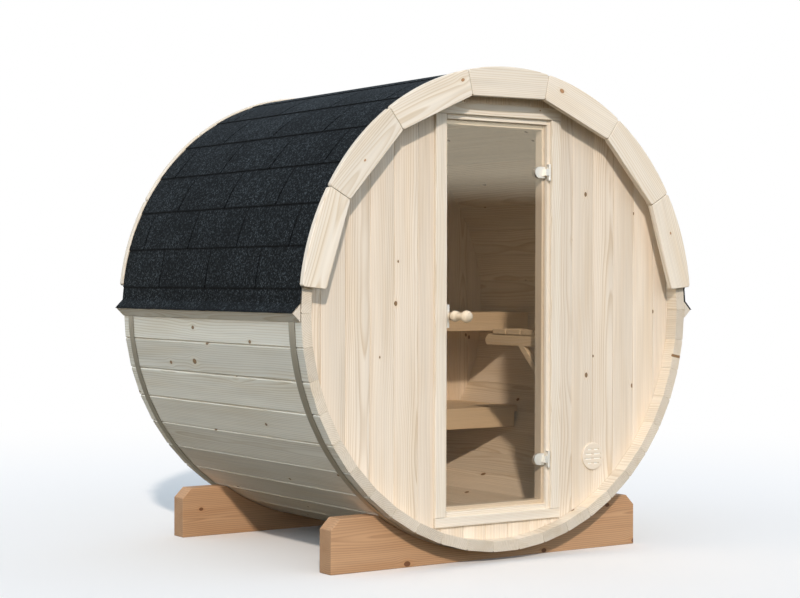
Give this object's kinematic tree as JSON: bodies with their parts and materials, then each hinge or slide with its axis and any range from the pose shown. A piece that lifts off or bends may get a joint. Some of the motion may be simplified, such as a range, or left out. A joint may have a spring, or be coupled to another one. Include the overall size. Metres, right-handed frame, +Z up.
{
  "type": "barrel sauna",
  "caption": "Staved barrel sauna on two timber cradles, with a glass door, end walls, arch boards, a shingle roof, benches and a shelf",
  "frame": {"origin": "on the ground under the middle of the barrel's length, on the barrel's centre plane", "axes": "+Z up, -Y out through the doorway, +X to the right of someone who faces the doorway"},
  "size_m": [2.0872, 1.6367, 2.0565],
  "materials": {
    "impregnated_timber": "brown pressure-impregnated pine, sawn and planed",
    "spruce_staves": "planed spruce staves, unfinished",
    "spruce_boards": "planed spruce wall boards, unfinished, vertical grain",
    "spruce_trim": "planed spruce trim, unfinished, with small knots",
    "steel_band": "galvanised steel strapping, dull",
    "bitumen_shingle": "bitumen roof shingle with anthracite mineral granules",
    "bronze_glass": "bronze tinted toughened glass, polished edges",
    "hinge_metal": "satin metal door fittings",
    "turned_wood": "turned birch, sanded smooth",
    "vent_plastic": "beige moulded vent cover",
    "bench_wood": "planed alder bench boards, unfinished"
  },
  "bodies": {
    "root": {"cradle_front": "impregnated_timber", "cradle_rear": "impregnated_timber", "floor_staves": "spruce_staves", "lower_right_staves": "spruce_staves", "right_side_staves": "spruce_staves", "upper_right_staves": "spruce_staves", "crown_staves": "spruce_staves", "upper_left_staves": "spruce_staves", "left_side_staves": "spruce_staves", "lower_left_staves": "spruce_staves", "front_wall_left": "spruce_boards", "front_wall_right": "spruce_boards", "front_wall_over_door": "spruce_boards", "front_wall_under_door": "spruce_boards", "rear_wall": "spruce_boards", "hoop_front": "steel_band", "hoop_rear": "steel_band", "front_arch_boards": "spruce_trim", "rear_arch_boards": "spruce_trim", "roof_shingles_right": "bitumen_shingle", "roof_shingles_left": "bitumen_shingle", "ridge_shingles": "bitumen_shingle", "eave_lath_right": "spruce_trim", "eave_lath_left": "spruce_trim", "door_jamb_right": "spruce_trim", "door_jamb_left": "spruce_trim", "door_head": "spruce_trim", "door_sill": "spruce_trim", "door_casing_left": "spruce_trim", "door_casing_right": "spruce_trim", "door_casing_head": "spruce_trim", "door_casing_sill": "spruce_trim", "hinge_leaves": "hinge_metal", "vent_cover": "vent_plastic", "upper_bench_front_board": "bench_wood", "upper_bench_slats": "bench_wood", "upper_bench_frame": "bench_wood", "lower_bench_front_board": "bench_wood", "lower_bench_slats": "bench_wood", "lower_bench_frame": "bench_wood", "shelf_boards": "bench_wood", "shelf_brackets": "bench_wood"},
    "door": {"door_glass": "bronze_glass", "hinge_clamps": "hinge_metal", "door_knob": "turned_wood", "door_catch_plate": "hinge_metal"}
  },
  "joints": [
    {"name": "door_hinge", "type": "hinge", "parent": "root", "child": "door", "pos_m": [0.267, -0.728, 1.02], "axis": [0, 0, 1], "range_deg": [0, 110]}
  ]
}
